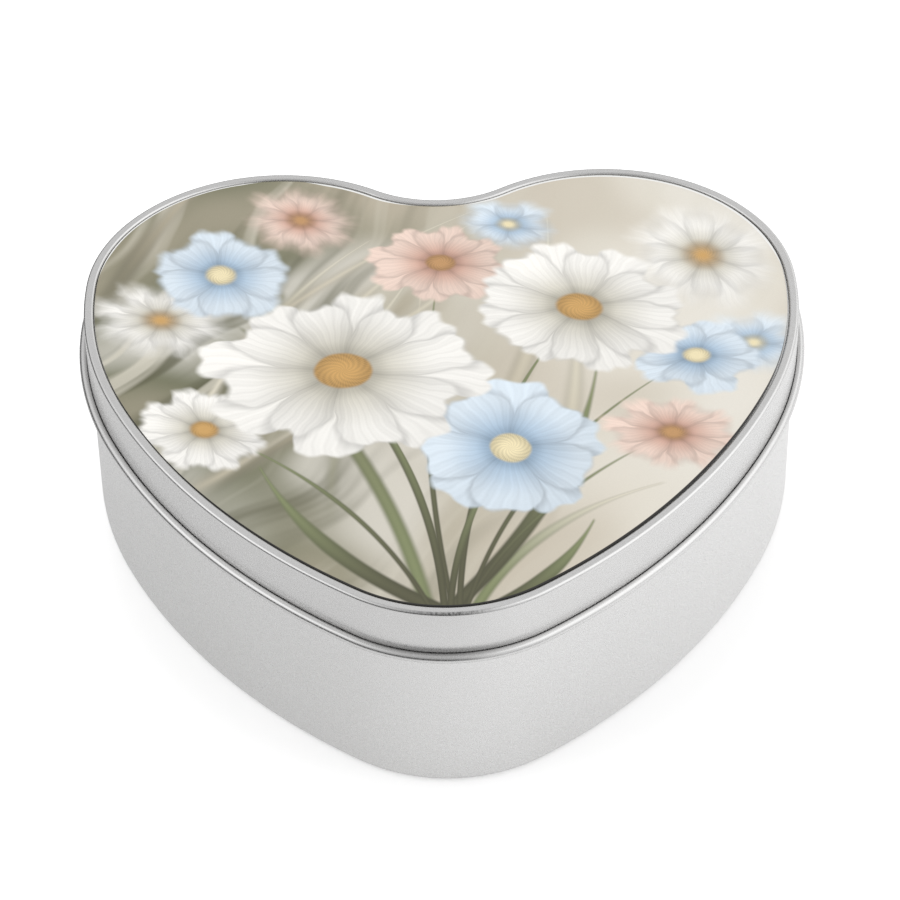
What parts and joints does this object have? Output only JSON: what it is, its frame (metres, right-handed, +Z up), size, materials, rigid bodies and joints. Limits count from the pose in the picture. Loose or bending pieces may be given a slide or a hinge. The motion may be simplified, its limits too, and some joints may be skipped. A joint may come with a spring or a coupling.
{
  "type": "heart-shaped gift tin",
  "caption": "Heart-shaped drawn tinplate box with a slip-on lid, whose rim frames a printed plate bonded into its recess.",
  "frame": {"origin": "centre of the bounding box, on the plane of the ring that the tin stands on", "axes": "+Z up, the way the lid lifts; +X across the heart; the heart's tip points to -Y"},
  "size_m": [0.1648, 0.1552, 0.0498],
  "materials": {
    "tinplate": "satin silver tinplate",
    "bond": "clear adhesive film",
    "print": "gloss printed aluminium plate"
  },
  "bodies": {
    "base": {"base_shell": "tinplate"},
    "lid": {"lid_shell": "tinplate", "bond_film": "bond", "print_plate": "print"}
  },
  "joints": [
    {"name": "lid_lift", "type": "slide", "parent": "base", "child": "lid", "axis": [0, 0, 1], "range_m": [0, 0.06]}
  ]
}
